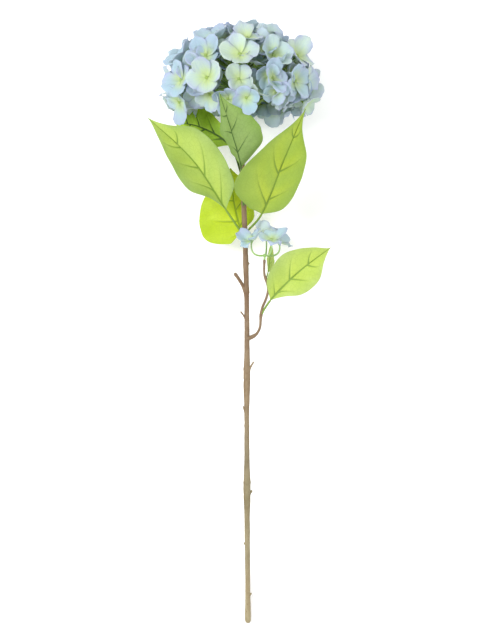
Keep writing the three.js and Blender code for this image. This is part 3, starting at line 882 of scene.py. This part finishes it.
# %% Make a floret's skin
PETAL_ROWS = 15
PETAL_COLUMNS = 13
PETAL_THICKNESS = 0.34
SHORT_PAIR = 0.94
EYE_SIDES = 12
HALF_WIDTH = 0.54
EYE_RADIUS = 1.9


def petal_skin(radius, angle, rng, tone):
    out = np.linspace(0, 1, PETAL_ROWS)[:, None]
    across = np.linspace(-1, 1, PETAL_COLUMNS)[None, :]
    tilt, curl = rng.normal(0.02, 0.16), rng.uniform(-0.1, 0.38)
    twist, crease = rng.uniform(0.04, 0.2), rng.uniform(0.03, 0.14)
    wave, phase = rng.uniform(0.02, 0.05), rng.uniform(0, 2 * np.pi, 3)
    length = radius * rng.uniform(0.95, 1.04)
    width = radius * HALF_WIDTH * rng.uniform(0.92, 1.08) * (0.15 + 0.85 * np.sin(2.32 * out**0.88))
    notch = rng.choice((0.0, 0.035)) * np.exp(-((across / 0.22) ** 2))
    ahead = length * (out - 0.19 * across**2 * out**2 - notch * out**6)
    sideways = width * across * (1 + 0.03 * np.sin(5 * np.pi * out + phase[0]))
    share = np.hypot(ahead, sideways) / radius
    height = CUP_SLOPE * share + CUP_RISE * share**2
    height = height + tilt * out**1.5 + twist * across * out * np.sin(np.pi * np.minimum(out, 0.85))
    height = height - crease * np.exp(-((across / 0.3) ** 2)) * np.sin(np.pi * out**0.8)
    height = height + wave * out**2 * np.sin(4.2 * across + phase[1])
    height = height + 0.6 * wave * out**3 * np.sin(9 * across + phase[2])
    height = (height - curl * out**4 * (0.5 + 0.5 * across**2)) * radius
    cosine, sine = np.cos(angle), np.sin(angle)
    middle = np.stack((
        ahead * cosine - sideways * sine, height, ahead * sine + sideways * cosine,
    ), -1)
    thin = np.broadcast_to(PETAL_THICKNESS / 2 * (0.4 + 0.6 * (1 - across**6) * (1 - out**8)), share.shape)
    edge = 1 - (1 - np.abs(across) ** 3 * np.ones_like(out)) * (1 - out**4)
    return shell(middle, thin, thin, {"reach": share, "edge": edge, "across": across, "tone": tone})


def eye_skin(radius, tone):
    """The eye: a bud whose radius has four lobes, closed by a point at its top and its bottom."""
    height = np.linspace(-0.35, 1, 7)
    lobes = 0.12 * np.cos(4 * circle(EYE_SIDES))[None, :]
    size = EYE_RADIUS * radius / 22
    path = np.stack((0 * height, size * 0.9 * height, 0 * height), -1)
    skin = tube(path, size * np.sqrt(np.clip(1 - height**2, 0.02, 1)), EYE_SIDES, EYEWARD, lobes)
    return constant_fields(skin, reach=0, edge=0, across=0, tone=tone, under=0)


def floret_skin(spot, seed):
    """Four petals and an eye in the floret's own place and axes."""
    rng = np.random.default_rng(seed)
    floret_tone = rng.uniform()
    parts = [eye_skin(spot["radius"], floret_tone)]
    for quarter in range(4):
        size = spot["radius"] * (1.0 if quarter % 2 == 0 else SHORT_PAIR)
        tone = np.clip(floret_tone + rng.normal(0, 0.12), 0, 1)
        parts.append(petal_skin(size, quarter * np.pi / 2 + rng.normal(0, 0.07), rng, tone))
    skin = joined(parts)
    axes = np.stack((spot["first"], spot["facing"], spot["second"]))
    skin["points"] = spot["place"] + skin["points"] @ axes
    return skin


# %% [markdown]
# ## Petal skin
#
# A petal goes from yellow-green at the eye through pale blue to a lavender rim, with fine darker
# streaks that fan out along it. The streaks are a noise stretched along the petal, so it reads the
# petal's own two shares and not its place. The tone that each petal carries moves it between a
# greenish white and a clear sky blue, so no two florets are quite the same.

# %% Make the petal material
PETAL_GLOW = 0.34
OUTER_SEED, INNER_SEED = 300, 500


def make_petal_material():
    material, tree, place = new_material("petal_skin")
    reach, edge, across, tone = (field(tree, name) for name in ("reach", "edge", "across", "tone"))
    fan = add_node(tree, "ShaderNodeCombineXYZ", {
        0: maths(tree, "MULTIPLY", across, 9.0), 1: maths(tree, "MULTIPLY", reach, 1.3),
        2: maths(tree, "MULTIPLY", tone, 40.0),
    }).outputs[0]
    streaks = noise(tree, fan, 1.6, 3.0, 0.6)
    mask, grain = mottle(tree, place, 34.0, 700.0, 0.25)
    mint, sky = linear(212, 230, 206), linear(178, 207, 218)
    body = blend_colours(tree, smooth_step(tree, tone, 0.15, 0.85), mint, sky)
    body = tint(tree, body, linear(196, 212, 220), mask, 0.6)
    rim_share = maths(tree, "MULTIPLY", edge, smooth_step(tree, mask, 0.1, 0.9, 0.25, 0.85))
    colour = blend_colours(tree, rim_share, body, linear(182, 188, 222))
    heart = smooth_step(tree, maths(tree, "ADD", reach, maths(tree, "MULTIPLY", streaks, 0.25)),
                        0.22, 0.85, 0.8, 0.0)
    colour = blend_colours(tree, heart, colour, linear(204, 222, 134))
    eye = smooth_step(tree, reach, 0.03, 0.16, 0.8, 0.0)
    colour = blend_colours(tree, eye, colour, linear(158, 186, 84))
    streak_share = smooth_step(tree, streaks, 0.45, 0.75, 0.0, 0.3)
    colour = blend_colours(tree, streak_share, colour, linear(158, 190, 204))
    pale = blend_colours(tree, 0.5, colour, linear(224, 234, 232))
    colour = tint(tree, colour, pale, field(tree, "under"), 0.7)
    height = maths(tree, "ADD", streaks, maths(tree, "MULTIPLY", grain, 0.3))
    rough = smooth_step(tree, streaks, 0.3, 0.7, 0.5, 0.68)
    finish_material(tree, colour, rough, height, 0.4, 0.0003, PETAL_GLOW, 0.15)
    return material


PETAL = make_petal_material()
for seed, name in enumerate(FLORET_NODES):
    spot = dict(floret_frames[name], radius=OUTER_SHRINK * floret_frames[name]["radius"])
    make_piece(name + "_petals", floret_skin(spot, OUTER_SEED + seed), PETAL, [name])
inner_skins = [floret_skin(spot, INNER_SEED + seed) for seed, spot in enumerate(inner)]
for batch in range(INNER_BATCHES):
    make_piece(f"inner_florets_{batch + 1}", joined(inner_skins[batch::INNER_BATCHES]), PETAL)
print(f"{len(FLORET_NODES)} outer florets, and {len(inner)} inner florets in {INNER_BATCHES} pieces")

# %% [markdown]
# ## Flower stalks
#
# Five stout stalks rise from the knob at the top of the stem, and each splits into thin ones, one
# per floret, as the ribs of an umbrella do. Each is a tube along a curve that leaves its hub and
# bends round to meet its floret square on, where it flares into a small green cup. A floret
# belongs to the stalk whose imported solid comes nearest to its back.

# %% Make the flower stalks
RAY_RADIUS = 1.4
RAY_CIRCLE = 3.4
PEDICEL_RADII = (1.05, 0.75)
CALYX_FLARE = 1.5
KNOB_GAP = 0.3
RAYS = {  # the side of the knob that the stalk stands on, and its hub from the head's centre
    "stalks_top": ((0, 0, 0), (0, 20, 0)),
    "stalks_front": ((0, 0, 1), (0, -4, 26)),
    "stalks_right": ((1, 0, 0), (32, -4, 0)),
    "stalks_back": ((0, 0, -1), (0, -4, -22)),
    "stalks_left": ((-1, 0, 0), (-32, -4, 0)),
}
SIDE_HUB = np.array([18, 396.5, 14.3])
SIDE_HUB_RADIUS = 2.0
SIDE_DROOP = 3.0
STUB_SUNK = 1.2
STUB_RADII = (1.05, 1.1)
PEDICEL_STEPS = 22
PEDICEL_SIDES = 9
RAY_STEPS = 30


def bezier(start, bend, end, count):
    """A quadratic Bezier curve, and a direction square to the plane that it lies in."""
    share = np.linspace(0, 1, count)[:, None]
    path = (1 - share) ** 2 * start + 2 * share * (1 - share) * bend + share**2 * end
    square = np.cross(bend - start, end - bend)
    if np.linalg.norm(square) < 1e-3:
        square = np.cross(end - start, (0.3, 0.2, 1.0))
    return path, square


def pedicel_skin(hub, spot, droop=None):
    """A thin stalk from a hub to the back of a floret, flared where it holds the petals.

    With a droop it leaves the hub sideways, sags that far below it, and then climbs."""
    end = spot["place"] - spot["facing"] * (PETAL_THICKNESS / 2 + 0.1)
    bend = end - spot["facing"] * 0.5 * np.linalg.norm(end - hub)
    if droop is not None:
        bend = np.array([1.25 * end[0] - 0.25 * hub[0], hub[1] - droop, 1.25 * end[2] - 0.25 * hub[2]])
    path, square = bezier(hub, bend, end, PEDICEL_STEPS)
    share = np.linspace(0, 1, PEDICEL_STEPS)
    radius = PEDICEL_RADII[0] + (PEDICEL_RADII[1] - PEDICEL_RADII[0]) * share
    radius = radius + CALYX_FLARE * np.exp(-(((1 - share) / 0.06) ** 2))
    return tube(path, radius, PEDICEL_SIDES, square)


def hub_skin(centre, radius):
    """A knobbly ball where the thin stalks meet: rings up an axis, with a few bumps round it."""
    polar = np.linspace(0.12, np.pi - 0.12, 10)
    path = centre + np.stack((0 * polar, -radius * np.cos(polar), 0 * polar), -1)
    bumps = 0.08 * np.sin(5 * circle(STALK_SIDES))[None, :]
    return tube(path, radius * np.sin(polar), STALK_SIDES, EYEWARD, bumps)


def ray_skin(side, hub, spots):
    """One stout stalk from the knob to its hub, with a thin stalk to each of its florets."""
    start = STEM_CROWN + RAY_CIRCLE * np.array(side, float) + np.array([0, KNOB_GAP, 0])
    end = HEAD_CENTRE + hub
    bend = start + np.array([0, 0.6 * (end[1] - start[1]), 0])
    path, square = bezier(start, bend, end, RAY_STEPS)
    share = np.linspace(0, 1, RAY_STEPS)
    radius = RAY_RADIUS * (1 + 0.35 * np.exp(-((share / 0.08) ** 2)) + 0.06 * np.sin(17 * share))
    parts = [tube(path, radius, STALK_SIDES, square), hub_skin(end, RAY_RADIUS * 1.3)]
    return joined(parts + [pedicel_skin(end, spot) for spot in spots])


def make_stalk_material(name, young, old, rib):
    material, tree, place = new_material(name)
    mask, grain = mottle(tree, place, 60.0, 1200.0, 0.35)
    colour = blend_colours(tree, field(tree, "share"), linear(*old), linear(*young))
    colour = tint(tree, colour, linear(*rib), mask, 0.5)
    rough = smooth_step(tree, mask, 0.0, 1.0, 0.42, 0.6)
    finish_material(tree, colour, rough, grain, 0.3, 0.0003, 0.15)
    return material


ray_corners = {name: standing(cad_points(name)) for name in RAYS}


def nearest_ray(spot):
    """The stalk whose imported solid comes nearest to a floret's back."""
    return min(RAYS, key=lambda name: np.linalg.norm(ray_corners[name] - spot["place"], axis=1).min())


def nearest_hub(spot):
    """The stalk whose hub is nearest to an inner floret."""
    return min(RAYS, key=lambda name: np.linalg.norm(HEAD_CENTRE + RAYS[name][1] - spot["place"]))


held = {name: [] for name in RAYS}
for name, spot in floret_frames.items():
    if not name.startswith("side"):
        held[nearest_ray(spot)].append(spot)
for spot in inner:
    held[nearest_hub(spot)].append(spot)
STALK = make_stalk_material("stalk_skin", (150, 176, 84), (112, 146, 62), (96, 134, 70))
PALE_STALK = make_stalk_material("pale_stalk_skin", (178, 208, 150), (150, 184, 104), (126, 166, 88))
for name, (side, hub) in RAYS.items():
    make_piece(name + "_skin", ray_skin(side, hub, held[name]), STALK, [name])
    print(f"{name} holds {len(held[name])} florets")

side_stub = np.linspace(SIDE_AXIS[-1] - np.array([0, STUB_SUNK, 0]), SIDE_HUB, 8)
side_parts = [hub_skin(SIDE_HUB, SIDE_HUB_RADIUS), tube(side_stub, np.linspace(*STUB_RADII, 8), 12, EYEWARD)]
for name, spot in floret_frames.items():
    if name.startswith("side"):
        side_parts.append(pedicel_skin(SIDE_HUB, spot, SIDE_DROOP))
make_piece("side_flower_stalks_skin", joined(side_parts), PALE_STALK, ["side_flower_stalks"])

# %% [markdown]
# ## Floor, light and camera
#
# The floor is plain and pale. The light is bright from all round, so that thin petals glow, with
# one large soft lamp above and to the left to give the leaves their shape. The plant lies on its
# back, so the camera hangs above it, looks straight at its front and has the plant's up as its own.

# %% Set the floor, the light and the camera
FLOOR_HALF = 6.0
EYE_PLACE = (1.1, 325, 2400)
EYE_LENS = 124.2
EYE_SENSOR = 36.0
FLOOR_PAINT = (0.93, 0.93, 0.93, 1.0)
FLOOR_GLOW = 0.12
LAMPS = {  # place, target, size, power, colour
    "key": ((-1.0, 0.25, 1.8), (0, 0.1, 0.05), 0.8, 30, (1.0, 0.99, 0.97)),
    "fill": ((1.3, -0.4, 1.4), (0, 0, 0.05), 1.4, 8, (0.97, 0.99, 1.0)),
}


def make_floor():
    mesh = bpy.data.meshes.new("floor")
    corners = [(x * FLOOR_HALF, y * FLOOR_HALF, 0) for x, y in ((-1, -1), (1, -1), (1, 1), (-1, 1))]
    mesh.from_pydata(corners, [], [(0, 1, 2, 3)])
    material, tree, _ = new_material("floor_paint")
    surface = add_node(tree, "ShaderNodeBsdfPrincipled", {
        "Base Color": FLOOR_PAINT, "Roughness": 0.9, "Specular IOR Level": 0.1,
        "Emission Color": (1.0, 1.0, 1.0, 1.0), "Emission Strength": FLOOR_GLOW,
    })
    add_node(tree, "ShaderNodeOutputMaterial", {"Surface": surface.outputs[0]})
    mesh.materials.append(material)
    floor = bpy.data.objects.new("floor", mesh)
    bpy.context.scene.collection.objects.link(floor)


def looking(place, right, up, back):
    """A world matrix from a place and three axes."""
    rows = np.eye(4)
    rows[:3] = np.stack((right, up, back, place), 1)
    return Matrix(rows.tolist())


def add_lamp(name, place, target, size, power, colour):
    data = bpy.data.lights.new(name, "AREA")
    data.shape, data.size, data.energy, data.color = "DISK", size, power, colour
    lamp = bpy.data.objects.new(name, data)
    bpy.context.scene.collection.objects.link(lamp)
    back = unit(np.array(place, float) - target)
    right = unit(np.cross((0.0, 1.0, 0.0), back))
    lamp.matrix_world = looking(place, right, np.cross(back, right), back)


make_floor()
world = bpy.data.worlds.new("studio")
world.use_nodes = True
world.node_tree.nodes["Background"].inputs["Color"].default_value = (1.0, 1.0, 1.0, 1.0)
world.node_tree.nodes["Background"].inputs["Strength"].default_value = 1.0
bpy.context.scene.world = world
bpy.context.scene.view_settings.view_transform = "Standard"
for name, lamp in LAMPS.items():
    add_lamp(name, *lamp)

camera = bpy.data.cameras.new("camera")
camera.lens = EYE_LENS
camera.sensor_width = EYE_SENSOR
viewer = bpy.data.objects.new("camera", camera)
bpy.context.scene.collection.objects.link(viewer)
viewer.matrix_world = looking(laid(EYE_PLACE), *PLANT_AXES)
bpy.context.scene.camera = viewer
print("camera", [round(value, 3) for value in viewer.location])
